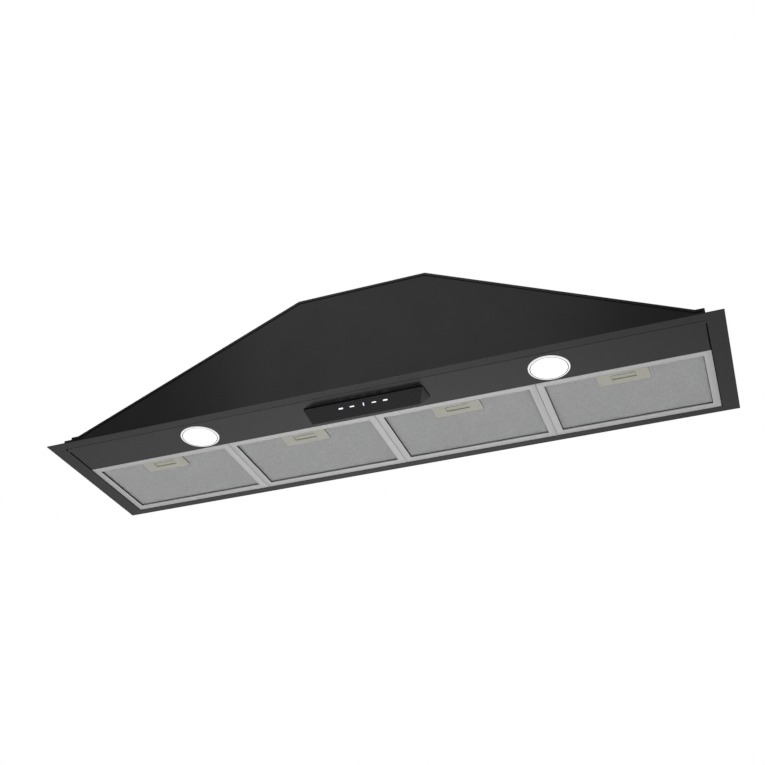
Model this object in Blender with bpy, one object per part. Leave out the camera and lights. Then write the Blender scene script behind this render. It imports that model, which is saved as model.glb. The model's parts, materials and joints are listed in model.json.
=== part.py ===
"""Insert range hood for the underside of a wall cabinet, modelled as separate pieces.

Run it with: blender --background --python part.py
Lengths are in millimetres until a shape becomes an object, and objects are in metres.
+X is the hood's right as its user sees it, +Y points to the wall and +Z points up.
The origin is the middle of the flange, on the face that meets the cabinet.
"""

import math

import bmesh
import bpy
from mathutils import Matrix, Vector

# Units and clearances
METRE = 0.001  # metres in a millimetre
GAP = 0.3  # clearance between neighbouring pieces
SHEET = 1.0  # sheet metal of the body
SHARP_ANGLE = math.radians(35)

# Flange: the trim frame that shows under the cabinet
WIDTH = 1214.0
DEPTH = 300.0
FLANGE_THICK = 1.2
FRONT = -DEPTH / 2
REAR = DEPTH / 2
UNDERSIDE = -FLANGE_THICK
OPENING_X = 579.2  # half the width of the flange's opening
OPENING_FRONT = FRONT + 19.0
OPENING_REAR = REAR - 16.7
LEDGE_DEPTH = 10.0  # how far the light panel's front edge is lapped from above
LEDGE_X = 578.0
RISER_Y = OPENING_FRONT - 1.2  # rear face of the step up to that ledge

# Body: a low box with sloping shoulders and a flat top
WALL_X = 579.3  # outer face of the side walls
WALL_TOP = 30.5
SHOULDER_X = 565.0  # where each slope starts
ROOF_X = 123.0  # where each slope meets the flat top
ROOF_TOP = 231.0
ROOF_SEAM_X = 111.0  # where the side panels' sheets meet the top panel
BODY_FRONT = FRONT + 30.0
BODY_REAR = REAR - 10.0
LIP = 5.0  # lips of the side and top panels that frame the front and rear plates
WELD_FOLD = 12.0
FOLD_X = WALL_X - LIP - 0.4  # half the width of the front and rear plates' folds
REAR_PLATE_Y = BODY_REAR - SHEET - GAP  # rear face of the rear plate
INSIDE_REAR = REAR_PLATE_Y - SHEET - GAP  # where what hangs on the rear plate ends

# Brackets that the cabinet is screwed to
BRACKET_THICK = 1.2
BRACKET_LENGTH = 34.0
BRACKET_REACH = 14.6
BRACKET_TOP = 25.8
BRACKET_HOLE_R = 2.5
LEFT_BRACKET_Y = BODY_FRONT
RIGHT_BRACKET_Y = -60.0

# Light panel
PANEL_X = 576.0
PANEL_FRONT = OPENING_FRONT + 0.8
PANEL_REAR = FRONT + 103.1
PANEL_FOLD = 13.2  # height of the upturned rear edge
PANEL_SIDE_FOLD = 10.0
WIRING_WINDOW_X = 70.0
LATCH_SLOT_X = 17.0
LATCH_SLOT = (2.0, 6.0)  # heights of the slots that the latches' tongues enter

# Lamps
LAMP_X = 322.0
LAMP_Y = FRONT + 62.0
BEZEL_R = 34.75
LENS_R = 30.6
LAMP_HOLE_R = 29.7
BEZEL_THICK = 2.1
SLEEVE_WALL = 0.9
SLEEVE_TOP = 6.0
CAN_TOP = 25.0

# Control pod: a wedge under the light panel, its face turned towards the user
POD_TOP = UNDERSIDE - GAP
POD_FRONT = FRONT + 42.0
POD_RIDGE_Y = FRONT + 62.0
POD_RIDGE_Z = UNDERSIDE - 25.0
POD_REAR = FRONT + 80.0
POD_FRONT_X = 110.0
POD_RIDGE_X = 98.0
POD_REAR_X = 113.0
POD_WALL = 3.4
GLASS_MARGIN = 1.2
GLASS_THICK = 1.8
DISPLAY_WIDTH = 26.0
DISPLAY_HEIGHT = 10.0
DISPLAY_THICK = 3.0
BOARD_WIDTH = 120.0
BOARD_HEIGHT = 11.0
BOARD_THICK = 1.6
KEY_V = 11.5  # how far down the pod's face the row of keys and the display lie

# Grease filters
FILTER_COUNT = 4
FILTER_PITCH = 288.7
FILTER_WIDTH = 288.0
FILTER_DEPTH = 178.6
FILTER_HEIGHT = 10.0
FILTER_HINGE_Y = OPENING_REAR - 1.0
RIM_SIDE = 12.9
RIM_FRONT = 12.9
RIM_REAR = 14.2
HEM = 2.6  # thickness of the rim that faces the cook
FILTER_WALL = 1.2
TAB_REACH = 4.8  # tabs that hook the rear rail
TAB_HALF = 15.0
TAB_HEIGHT = (1.5, 2.5)

# Latch: a tray in the filter's front edge, with a slide that a finger pulls back
CASE_WIDTH = 85.0
CASE_DEPTH = 33.0
CASE_WALL = 1.2
PULL_WIDTH = 41.0
PULL_DEPTH = 14.4
PULL_SETBACK = 13.0  # from the tray's rear edge to the finger window
TONGUE_WIDTH = 30.0
TONGUE_HEIGHT = (4.0, 6.4)
TONGUE_PLAY = 0.4
SLIDE_X = 28.0
SLIDE_DEPTH = 21.4
FINGER_TAB_X = 19.5
FINGER_TAB_DEPTH = 2.4
FINGER_TAB_INSET = 2.2  # behind the finger window's front edge

# Rail on the rear plate, over the filters' tabs
RAIL_X = 570.0
RAIL_LOW = 9.4
RAIL_TOP = 22.0

# Blower: a double-inlet centrifugal fan, its shaft along X
FAN_Y = -25.0
FAN_Z = 118.0
SCROLL_X = 62.0
SCROLL_TOP = 226.0
SCROLL_START_R = 66.0
SCROLL_END_R = 94.0
TONGUE_ANGLE = 75  # degrees from +Y
SCROLL_STEP = 15
WHEEL_R = 58.0
WHEEL_INNER_R = 51.0
WHEEL_X = 52.0
BLADE_COUNT = 24
INLET_R = 48.0
INLET_FLARE_R = 62.0
MOTOR_R = 34.0
MOTOR_START = 12.0
SHAFT_R = 4.0
BLADE_THICK = 1.4
BLADE_LEAN = math.radians(40)
WHEEL_DISC = 1.5  # half the thickness of the wheel's centre disc
WHEEL_RING = 3.0
ARM_REACH = 60.0
ARM_ANGLES = (60, 180, 300)
BLOWER_FLANGE_X = 95.0
BLOWER_FLANGE_RIM = 14.0
SCREW_HOLE_R = 2.3

# Duct collar and back-draught flaps
DUCT_Y = 30.5
DUCT_R = 74.5
COLLAR_HEIGHT = 45.0
COLLAR_BASE_R = 87.0
PIN_Z = 240.5
PIN_R = 1.5
FLAP_R = 71.5
FLAP_START = 3.6  # from the pin's axis to each flap's straight edge
FLAP_THICK = 0.8
FLAP_STEPS = 18
BARREL_R = 2.9
BEAD_DEPTH = 4.0  # the bead in the collar that the closed flaps lie on
SCREW_CENTRES = [(x, DUCT_Y + dy) for x in (-84.0, 84.0) for dy in (-40.0, 40.0)]

# Electrics on the rear plate, and the mains cable's gland in the top panel
POWER_BOX_X = (-330.0, -210.0)
POWER_BOX_Z = (60.0, 110.0)
POWER_BOX_DEPTH = 36.0
LED_DRIVER_X = (215.0, 305.0)
LED_DRIVER_Z = (40.0, 62.0)
LED_DRIVER_DEPTH = 25.0
CAPACITOR_X = 165.0
CAPACITOR_R = 17.0
CAPACITOR_Z = (60.0, 120.0)
GLAND_CENTRE = (-92.0, 110.0)
GLAND_BORE_R = 4.0
GLAND_THREAD_R = 8.0

# Frames that carry an outline's (u, v) and its thickness w to X, Y and Z
ALONG_X = Matrix(((0, 0, 1, 0), (1, 0, 0, 0), (0, 1, 0, 0), (0, 0, 0, 1)))
ALONG_Y = Matrix(((1, 0, 0, 0), (0, 0, 1, 0), (0, 1, 0, 0), (0, 0, 0, 1)))
ALONG_Z = Matrix.Identity(4)


# ---------------------------------------------------------------- shapes


def slab(outline, low, high, frame=ALONG_Z):
    """A flat outline given thickness from low to high."""
    shape = bmesh.new()
    rings = [[shape.verts.new(frame @ Vector((u, v, w))) for u, v in outline] for w in (low, high)]
    for ring in rings:
        shape.faces.new(ring)
    for index in range(len(outline)):
        after = (index + 1) % len(outline)
        shape.faces.new((rings[0][index], rings[0][after], rings[1][after], rings[1][index]))
    bmesh.ops.recalc_face_normals(shape, faces=shape.faces)
    return shape


def box(x, y, z):
    """A box from its low and high value along each axis."""
    outline = [(x[0], y[0]), (x[1], y[0]), (x[1], y[1]), (x[0], y[1])]
    return slab(outline, z[0], z[1])


def hull(points):
    """The smallest convex solid around some points."""
    shape = bmesh.new()
    for point in points:
        shape.verts.new(point)
    bmesh.ops.convex_hull(shape, input=shape.verts)
    bmesh.ops.recalc_face_normals(shape, faces=shape.faces)
    return shape


def turned(profile, segments, frame):
    """A closed profile of (radius, height) points turned about the frame's own Z axis."""
    shape = bmesh.new()
    rings = []
    for radius, height in profile:
        if radius == 0:
            rings.append([shape.verts.new(frame @ Vector((0, 0, height)))] * segments)
            continue
        ring = []
        for index in range(segments):
            angle = 2 * math.pi * index / segments
            point = Vector((radius * math.cos(angle), radius * math.sin(angle), height))
            ring.append(shape.verts.new(frame @ point))
        rings.append(ring)
    for ring, following in zip(rings, rings[1:] + rings[:1]):
        for index in range(segments):
            after = (index + 1) % segments
            corners = [ring[index], ring[after], following[after], following[index]]
            corners = list(dict.fromkeys(corners))
            if len(corners) > 2:
                shape.faces.new(corners)
    bmesh.ops.recalc_face_normals(shape, faces=shape.faces)
    return shape


def cylinder(radius, low, high, frame, segments=24):
    return turned([(0, low), (radius, low), (radius, high), (0, high)], segments, frame)


def drilled(radius, x, y, low, high, segments=12):
    """A cutter for an upright round hole."""
    return cylinder(radius, low, high, upright(x, y), segments)


def upright(x, y):
    """The frame of a round piece whose axis is vertical."""
    return Matrix.Translation((x, y, 0))


def lying(y, z):
    """The frame of a round piece whose axis lies along X."""
    return Matrix.Translation((0, y, z)) @ Matrix.Rotation(math.pi / 2, 4, "Y")


def loose_object(shape):
    mesh = bpy.data.meshes.new("helper")
    shape.to_mesh(mesh)
    shape.free()
    helper = bpy.data.objects.new("helper", mesh)
    bpy.context.scene.collection.objects.link(helper)
    return helper


def combined(base, tools, operation):
    """The base shape after an exact Boolean with each tool shape in turn."""
    target = loose_object(base)
    helpers = [loose_object(tool) for tool in tools]
    for helper in helpers:
        modifier = target.modifiers.new("combine", "BOOLEAN")
        modifier.operation = operation
        modifier.solver = "EXACT"
        modifier.object = helper
    graph = bpy.context.evaluated_depsgraph_get()
    result = bmesh.new()
    result.from_mesh(target.evaluated_get(graph).to_mesh())
    for helper in (target, *helpers):
        mesh = helper.data
        bpy.data.objects.remove(helper)
        bpy.data.meshes.remove(mesh)
    return result


def cut(base, *tools):
    return combined(base, tools, "DIFFERENCE")


def joined(base, *tools):
    return combined(base, tools, "UNION")


def mirrored(shape):
    """The shape reflected left to right."""
    bmesh.ops.scale(shape, vec=(-1, 1, 1), verts=shape.verts)
    bmesh.ops.recalc_face_normals(shape, faces=shape.faces)
    return shape


def offset_path(points, distance):
    """An open path moved to its right by a distance, with mitred corners."""
    path = [Vector(point) for point in points]
    runs = [(after - before).normalized() for before, after in zip(path, path[1:])]
    normals = [Vector((run.y, -run.x)) for run in runs]
    moved = []
    for index, point in enumerate(path):
        before = normals[max(index - 1, 0)]
        after = normals[min(index, len(normals) - 1)]
        middle = (before + after).normalized()
        moved.append(tuple(point + middle * (distance / middle.dot(before))))
    return moved


def band(points, thickness):
    """The outline of a bent strip: a path and the same path moved to its right."""
    return list(points) + offset_path(points, thickness)[::-1]


# ---------------------------------------------------------------- objects


def material(name, colour, roughness, metallic=0.0):
    """A Principled material, made once for each name."""
    made = bpy.data.materials.get(name) or bpy.data.materials.new(name)
    made.use_nodes = True
    shader = made.node_tree.nodes["Principled BSDF"]
    shader.inputs["Base Color"].default_value = (*colour, 1.0)
    shader.inputs["Roughness"].default_value = roughness
    shader.inputs["Metallic"].default_value = metallic
    return made


def black_paint():
    return material("black_paint", (0.028, 0.028, 0.029), 0.42)


def black_plastic():
    return material("black_plastic", (0.020, 0.020, 0.021), 0.35)


def black_glass():
    return material("black_glass", (0.012, 0.012, 0.013), 0.15)


def filter_aluminium():
    return material("filter_aluminium", (0.50, 0.50, 0.50), 0.45, 0.8)


def filter_mesh():
    return material("filter_mesh", (0.32, 0.33, 0.33), 0.55, 0.8)


def latch_steel():
    return material("latch_steel", (0.41, 0.40, 0.34), 0.5, 0.3)


def galvanised():
    return material("galvanised", (0.45, 0.46, 0.47), 0.45, 0.9)


def bright_steel():
    return material("bright_steel", (0.60, 0.60, 0.60), 0.3, 1.0)


def lamp_white():
    return material("lamp_white", (0.90, 0.90, 0.90), 0.4)


def lamp_lens():
    return material("lamp_lens", (1.0, 1.0, 1.0), 0.3)


def fan_plastic():
    return material("fan_plastic", (0.08, 0.08, 0.085), 0.5)


def circuit_green():
    return material("circuit_green", (0.02, 0.10, 0.05), 0.5)


def part(name, shape, look, origin=(0, 0, 0), parent=None, smooth=False):
    """Make a shape an object in metres, with its origin at the given point."""
    bmesh.ops.translate(shape, vec=-Vector(origin), verts=shape.verts)
    bmesh.ops.scale(shape, vec=(METRE, METRE, METRE), verts=shape.verts)
    mesh = bpy.data.meshes.new(name)
    shape.to_mesh(mesh)
    shape.free()
    mesh.materials.append(look)
    if smooth:
        mesh.shade_smooth()
        mesh.set_sharp_from_angle(angle=SHARP_ANGLE)
    return placed(name, mesh, origin, parent)


def placed(name, mesh, origin, parent=None):
    """An object that shows a mesh at a point given in millimetres."""
    new = bpy.data.objects.new(name, mesh)
    new.location = Vector(origin) * METRE
    bpy.context.scene.collection.objects.link(new)
    if parent:
        new.parent = parent
        new.location -= parent.location
    return new


def clear_scene():
    for old in list(bpy.data.objects):
        bpy.data.objects.remove(old)


# ---------------------------------------------------------------- body


def flange_frame():
    ring = cut(
        box((-WIDTH / 2, WIDTH / 2), (FRONT, REAR), (UNDERSIDE, 0)),
        box((-OPENING_X, OPENING_X), (OPENING_FRONT, OPENING_REAR), (UNDERSIDE - 1, 1)),
    )
    # The front strip is joggled up by one sheet, so that the light panel lies flush under it.
    ledge_low = UNDERSIDE + SHEET + GAP
    joggle = band(
        [
            (RISER_Y - SHEET, UNDERSIDE / 2),
            (RISER_Y - SHEET, ledge_low + SHEET),
            (OPENING_FRONT + LEDGE_DEPTH, ledge_low + SHEET),
        ],
        SHEET,
    )
    ledge = slab(joggle, -LEDGE_X, LEDGE_X, ALONG_X)
    part("flange_frame", joined(ring, ledge), black_paint())


def side_path():
    """The left side panel's outer face, from the flange up to the seam with the top panel."""
    return [
        (-WALL_X, GAP),
        (-WALL_X, WALL_TOP),
        (-SHOULDER_X, WALL_TOP),
        (-ROOF_X, ROOF_TOP),
        (-ROOF_SEAM_X, ROOF_TOP),
    ]


def left_side_shape():
    """Wall, shoulder and slope bent from one sheet, with lips for the plates and a weld fold."""
    path = side_path()
    sheet = slab(band(path, SHEET), BODY_FRONT, BODY_REAR, ALONG_Y)
    front_lip = slab(band(path, LIP), BODY_FRONT, BODY_FRONT + SHEET, ALONG_Y)
    rear_lip = slab(band(path, LIP), BODY_REAR - SHEET, BODY_REAR, ALONG_Y)
    fold = box(
        (-WALL_X - WELD_FOLD, -WALL_X + SHEET / 2),
        (BODY_FRONT + 2, BODY_REAR - 2),
        (GAP, GAP + SHEET),
    )
    return joined(sheet, front_lip, rear_lip, fold)


def top_panel():
    edge = ROOF_SEAM_X - GAP
    sheet = box((-edge, edge), (BODY_FRONT, BODY_REAR), (ROOF_TOP - SHEET, ROOF_TOP))
    lips = [
        box((-edge, edge), (start, start + SHEET), (ROOF_TOP - LIP, ROOF_TOP))
        for start in (BODY_FRONT, BODY_REAR - SHEET)
    ]
    through = (ROOF_TOP - LIP, ROOF_TOP + LIP)
    holes = [
        drilled(DUCT_R - 1.5, 0, DUCT_Y, *through, 48),
        drilled(GLAND_THREAD_R + GAP, *GLAND_CENTRE, *through, 16),
        *[drilled(SCREW_HOLE_R, x, y, *through) for x, y in SCREW_CENTRES],
    ]
    part("top_panel", cut(joined(sheet, *lips), *holes), black_paint())


def plate_outline(low):
    """The house-shaped outline of the front and rear plates, inside the bent side panels."""
    left = offset_path(side_path(), SHEET + GAP)[:-1]
    left[0] = (left[0][0], low)
    right = [(-x, z) for x, z in reversed(left)]
    return left + right


def front_panel():
    low = UNDERSIDE + 2 * SHEET + 2 * GAP
    inner = BODY_FRONT + SHEET + GAP
    plate = slab(plate_outline(low), inner, inner + SHEET, ALONG_Y)
    fold = box((-FOLD_X, FOLD_X), (inner - WELD_FOLD, inner + SHEET / 2), (low, low + SHEET))
    part("front_panel", joined(plate, fold), black_paint())


def rear_panel():
    front_face = REAR_PLATE_Y - SHEET
    plate = slab(plate_outline(GAP), front_face, REAR_PLATE_Y, ALONG_Y)
    fold = box((-FOLD_X, FOLD_X), (REAR_PLATE_Y - SHEET / 2, REAR - 2), (GAP, GAP + SHEET))
    part("rear_panel", joined(plate, fold), black_paint())


def side_bracket(name, side, start):
    """An angle bracket on a side wall, with a gusset, that is screwed to the cabinet."""
    low = 2 * GAP + SHEET
    wall = WALL_X + GAP
    tip = wall + BRACKET_REACH
    y = (start, start + BRACKET_LENGTH)
    leg = box((wall, wall + BRACKET_THICK), y, (low, BRACKET_TOP))
    shelf = box((wall, tip), y, (BRACKET_TOP - BRACKET_THICK, BRACKET_TOP))
    gusset = box((wall, tip), (start, start + BRACKET_THICK), (low, BRACKET_TOP))
    middle = (wall + BRACKET_THICK + tip) / 2
    screw_hole = drilled(BRACKET_HOLE_R, middle, sum(y) / 2, 0, BRACKET_TOP + 1)
    shape = cut(joined(leg, shelf, gusset), screw_hole)
    part(name, mirrored(shape) if side < 0 else shape, black_paint())


def light_panel():
    sheet = box((-PANEL_X, PANEL_X), (PANEL_FRONT, PANEL_REAR), (UNDERSIDE, UNDERSIDE + SHEET))
    rear_fold = box(
        (-PANEL_X, PANEL_X), (PANEL_REAR - SHEET, PANEL_REAR), (UNDERSIDE, UNDERSIDE + PANEL_FOLD)
    )
    side_folds = [
        box(
            sorted((side * PANEL_X, side * (PANEL_X - SHEET))),
            (BODY_FRONT + 2.8, PANEL_REAR),
            (UNDERSIDE, UNDERSIDE + PANEL_SIDE_FOLD),
        )
        for side in (-1, 1)
    ]
    through = (UNDERSIDE - SHEET, UNDERSIDE + 2 * SHEET)
    lamp_holes = [drilled(LAMP_HOLE_R, side * LAMP_X, LAMP_Y, *through, 40) for side in (-1, 1)]
    wiring_window = box(
        (-WIRING_WINDOW_X, WIRING_WINDOW_X), (POD_FRONT + 12, POD_REAR - 10), through
    )
    latch_slots = [
        box((x - LATCH_SLOT_X, x + LATCH_SLOT_X), (PANEL_REAR - 3, PANEL_REAR + 1), LATCH_SLOT)
        for x in filter_centres()
    ]
    shape = joined(sheet, rear_fold, *side_folds)
    part("light_panel", cut(shape, *lamp_holes, wiring_window, *latch_slots), black_paint())


# ---------------------------------------------------------------- lamps


def lamp(side, x):
    """A puck lamp: a bezel with a sleeve through the panel, a lens and a can above."""
    place = upright(x, LAMP_Y)
    origin = (x, LAMP_Y, 0)
    face = POD_TOP  # just under the light panel
    sleeve = LAMP_HOLE_R - 0.4
    can_r = sleeve - SLEEVE_WALL - GAP
    shelf = face - 0.7
    bezel = [
        (LENS_R + GAP, face - BEZEL_THICK),
        (BEZEL_R - 1.2, face - BEZEL_THICK),
        (BEZEL_R, face - 0.9),
        (BEZEL_R, face),
        (sleeve, face),
        (sleeve, SLEEVE_TOP),
        (sleeve - SLEEVE_WALL, SLEEVE_TOP),
        (sleeve - SLEEVE_WALL, shelf),
        (LENS_R + GAP, shelf),
    ]
    part(f"{side}_lamp_bezel", turned(bezel, 48, place), lamp_white(), origin, smooth=True)
    lens = [
        (0, shelf - 1.4),
        (LENS_R - 4, shelf - 1.3),
        (LENS_R, shelf - 0.9),
        (LENS_R, shelf - GAP),
        (0, shelf - GAP),
    ]
    part(f"{side}_lamp_lens", turned(lens, 48, place), lamp_lens(), origin, smooth=True)
    can = [
        (can_r - 1.2, shelf),
        (can_r, shelf),
        (can_r, CAN_TOP - 3),
        (can_r - 3, CAN_TOP),
        (0, CAN_TOP),
        (0, CAN_TOP - 1.5),
        (can_r - 4, CAN_TOP - 1.5),
        (can_r - 1.2, CAN_TOP - 4),
    ]
    part(f"{side}_lamp_can", turned(can, 32, place), galvanised(), origin, smooth=True)


# ---------------------------------------------------------------- control pod


def pod_face_frame():
    """The frame of the pod's face: u along X, v down the slope, w into the pod."""
    down = Vector((0, POD_RIDGE_Y - POD_FRONT, POD_RIDGE_Z - POD_TOP)).normalized()
    across = Vector((1, 0, 0))
    inward = across.cross(down)
    frame = Matrix((across, down, inward)).transposed().to_4x4()
    return Matrix.Translation((0, POD_FRONT, POD_TOP)) @ frame


def pod_face_length():
    return math.hypot(POD_RIDGE_Y - POD_FRONT, POD_RIDGE_Z - POD_TOP)


def pod_face_outline(margin):
    """The pod's trapezoid face, smaller by a margin on every side."""
    length = pod_face_length()
    lean = (POD_FRONT_X - POD_RIDGE_X) / length
    top_x = POD_FRONT_X - margin - lean * margin
    low_x = POD_RIDGE_X - margin + lean * margin
    return [(-top_x, margin), (top_x, margin), (low_x, length - margin), (-low_x, length - margin)]


def wedge(front, ridge, rear):
    """A solid from three corners and their reflections."""
    return hull([(side * x, y, z) for side in (-1, 1) for x, y, z in (front, ridge, rear)])


def control_housing():
    outer = wedge(
        (POD_FRONT_X, POD_FRONT, POD_TOP),
        (POD_RIDGE_X, POD_RIDGE_Y, POD_RIDGE_Z),
        (POD_REAR_X, POD_REAR, POD_TOP),
    )
    cavity = wedge(
        (POD_FRONT_X - POD_WALL, POD_FRONT + 1.5 * POD_WALL, POD_TOP + 1),
        (POD_RIDGE_X - POD_WALL, POD_RIDGE_Y + 0.6, POD_RIDGE_Z + 1.5 * POD_WALL),
        (POD_REAR_X - POD_WALL, POD_REAR - POD_WALL, POD_TOP + 1),
    )
    face = pod_face_frame()
    glass_seat = slab(pod_face_outline(GLASS_MARGIN), -5, GLASS_THICK + GAP, face)
    display_window = slab(rectangle(DISPLAY_WIDTH + 1, DISPLAY_HEIGHT + 1, KEY_V), -5, 8, face)
    part("control_housing", cut(outer, cavity, glass_seat, display_window), black_plastic())


def rectangle(width, height, v):
    """A rectangle on the pod's face, centred across it at v down the slope."""
    return [
        (-width / 2, v - height / 2),
        (width / 2, v - height / 2),
        (width / 2, v + height / 2),
        (-width / 2, v + height / 2),
    ]


def control_insides():
    face = pod_face_frame()
    glass = slab(pod_face_outline(GLASS_MARGIN + GAP), 0, GLASS_THICK, face)
    part("control_glass", glass, black_glass())
    low = GLASS_THICK + GAP
    display = slab(rectangle(DISPLAY_WIDTH, DISPLAY_HEIGHT, KEY_V), low, low + DISPLAY_THICK, face)
    part("display_module", display, black_glass())
    low += DISPLAY_THICK + GAP
    board = slab(rectangle(BOARD_WIDTH, BOARD_HEIGHT, KEY_V + 1), low, low + BOARD_THICK, face)
    part("control_board", board, circuit_green())


# ---------------------------------------------------------------- filters


def filter_centres():
    middle = (FILTER_COUNT - 1) / 2
    return [(index - middle) * FILTER_PITCH for index in range(FILTER_COUNT)]


def filter_frame_shape():
    """A C-section frame, around the point on its rear lower edge where it swings."""
    half = FILTER_WIDTH / 2
    front = -FILTER_DEPTH
    outer = box((-half, half), (front, 0), (0, FILTER_HEIGHT))
    window = box(
        (RIM_SIDE - half, half - RIM_SIDE), (front + RIM_FRONT, -RIM_REAR), (-1, FILTER_HEIGHT + 1)
    )
    channel = box(
        (FILTER_WALL - half, half - FILTER_WALL),
        (front + FILTER_WALL, -FILTER_WALL),
        (HEM, FILTER_HEIGHT - FILTER_WALL),
    )
    tabs = [
        box((x - TAB_HALF, x + TAB_HALF), (-FILTER_WALL / 2, TAB_REACH), TAB_HEIGHT)
        for x in (-FILTER_WIDTH / 3, FILTER_WIDTH / 3)
    ]
    return joined(cut(outer, window, channel, tongue_slot(front)), *tabs)


def tongue_slot(wall_front):
    """A cutter for the slot that the latch's tongue slides in, through a wall."""
    half = TONGUE_WIDTH / 2 + TONGUE_PLAY
    low, high = TONGUE_HEIGHT
    height = (low - TONGUE_PLAY, high + TONGUE_PLAY)
    return box((-half, half), (wall_front - 1, wall_front + FILTER_WALL + 1), height)


def case_rear():
    """Where the latch case ends, behind the filter's front rim."""
    return RIM_FRONT + GAP + CASE_DEPTH - FILTER_DEPTH


def filter_mesh_shape():
    """The pad of mesh layers, notched for the latch case."""
    half = FILTER_WIDTH / 2 - FILTER_WALL - GAP
    front = FILTER_WALL + GAP - FILTER_DEPTH
    height = (HEM + GAP, FILTER_HEIGHT - FILTER_WALL - GAP)
    pad = box((-half, half), (front, -FILTER_WALL - GAP), height)
    notch_x = CASE_WIDTH / 2 + 0.4
    notch = box((-notch_x, notch_x), (front - 1, case_rear() + 0.4), (0, FILTER_HEIGHT))
    return cut(pad, notch)


def latch_case_shape():
    """A tray with a window for the finger and a slot for the tongue."""
    half = CASE_WIDTH / 2
    rear = case_rear()
    front = rear - CASE_DEPTH
    top = FILTER_HEIGHT - FILTER_WALL - GAP
    tray = cut(
        box((-half, half), (front, rear), (0, top)),
        box(
            (CASE_WALL - half, half - CASE_WALL),
            (front + CASE_WALL, rear - CASE_WALL),
            (CASE_WALL, top + 1),
        ),
    )
    window = box((-PULL_WIDTH / 2, PULL_WIDTH / 2), (pull_rear() - PULL_DEPTH, pull_rear()), (-1, 3))
    return cut(tray, window, tongue_slot(front))


def pull_rear():
    """The rear edge of the finger window."""
    return case_rear() - PULL_SETBACK


def latch_shape():
    """A slide with a tongue and a finger tab. The tongue ends flush with the filter's frame."""
    front = case_rear() - CASE_DEPTH + CASE_WALL + TONGUE_PLAY
    low = CASE_WALL + GAP
    plate = box((-SLIDE_X, SLIDE_X), (front, front + SLIDE_DEPTH), (low, TONGUE_HEIGHT[0] + 1))
    half = TONGUE_WIDTH / 2
    tongue = box((-half, half), (GAP - FILTER_DEPTH, front + 1), TONGUE_HEIGHT)
    heel = box((-half, half), (front, front + 4), (low, TONGUE_HEIGHT[1]))
    tab_front = pull_rear() - PULL_DEPTH + FINGER_TAB_INSET
    tab = box(
        (-FINGER_TAB_X, FINGER_TAB_X), (tab_front, tab_front + FINGER_TAB_DEPTH), (0.4, low + 0.5)
    )
    return joined(plate, heel, tongue, tab)


def filters():
    """Four equal filters, each swinging about its rear lower edge."""
    looks = {
        "frame": (filter_frame_shape(), filter_aluminium()),
        "mesh": (filter_mesh_shape(), filter_mesh()),
        "latch_case": (latch_case_shape(), latch_steel()),
        "latch": (latch_shape(), latch_steel()),
    }
    first_x = filter_centres()[0]
    hinge = (first_x, FILTER_HINGE_Y, UNDERSIDE)
    for piece, (shape, look) in looks.items():
        bmesh.ops.translate(shape, vec=hinge, verts=shape.verts)
        part(f"filter_1_{piece}", shape, look, hinge)
    for number, x in enumerate(filter_centres(), start=1):
        pivot = placed(f"filter_{number}_hinge_line", None, (x, FILTER_HINGE_Y, UNDERSIDE))
        for piece in looks:
            first = bpy.data.objects[f"filter_1_{piece}"]
            if number > 1:
                first = placed(f"filter_{number}_{piece}", first.data, (0, 0, 0))
            first.parent = pivot
            first.location = (0, 0, 0)


def filter_rear_rail():
    """An angle on the rear plate that keeps the filters' rear tabs down."""
    bend = [
        (INSIDE_REAR, RAIL_TOP),
        (INSIDE_REAR, RAIL_LOW),
        (OPENING_REAR - GAP, RAIL_LOW),
    ]
    rail = slab(band(bend, SHEET), -RAIL_X, RAIL_X, ALONG_X)
    part("filter_rear_rail", rail, galvanised())


# ---------------------------------------------------------------- blower


def scroll_path():
    """The scroll's inner face in (y, z), from the outlet's front wall round to its rear wall."""
    path = [(FAN_Y + SCROLL_START_R * math.cos(math.radians(TONGUE_ANGLE)), SCROLL_TOP)]
    for angle in range(TONGUE_ANGLE, 361, SCROLL_STEP):
        turn = (angle - TONGUE_ANGLE) / (360 - TONGUE_ANGLE)
        radius = SCROLL_START_R + (SCROLL_END_R - SCROLL_START_R) * turn
        y = FAN_Y + radius * math.cos(math.radians(angle))
        z = FAN_Z + radius * math.sin(math.radians(angle))
        path.append((y, z))
    path.append((FAN_Y + SCROLL_END_R, SCROLL_TOP))
    return path


def blower_housing():
    scroll = slab(band(scroll_path(), SHEET), -SCROLL_X, SCROLL_X, ALONG_X)
    part("blower_scroll", scroll, galvanised(), smooth=True)
    for side, sign in (("left", -1), ("right", 1)):
        outline = offset_path(scroll_path(), 5.0)
        plate = slab(outline, SCROLL_X + GAP, SCROLL_X + GAP + SHEET, ALONG_X)
        hole = cylinder(INLET_R + 4, SCROLL_X - 5, SCROLL_X + 5, lying(FAN_Y, FAN_Z), 32)
        shape = cut(plate, hole)
        shape = mirrored(shape) if sign < 0 else shape
        part(f"blower_{side}_plate", shape, galvanised())
        ring = inlet_ring_shape()
        ring = mirrored(ring) if sign < 0 else ring
        part(f"{side}_inlet_ring", ring, fan_plastic(), smooth=True)


def inlet_ring_shape():
    """A bell-mouth: a ring on the housing's plate, with a lip that leads the air in."""
    outside = SCROLL_X + SHEET + 2 * GAP
    lip = outside - 2.5
    end = outside - 7.0
    profile = [
        (INLET_FLARE_R, outside),
        (INLET_FLARE_R, outside + SHEET),
        (INLET_R + 4, outside + SHEET),
        (INLET_R, lip),
        (INLET_R, end),
        (INLET_R + 1.2, end),
        (INLET_R + 1.2, lip),
        (INLET_R + 3, outside),
    ]
    return turned(profile, 32, lying(FAN_Y, FAN_Z))


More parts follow.
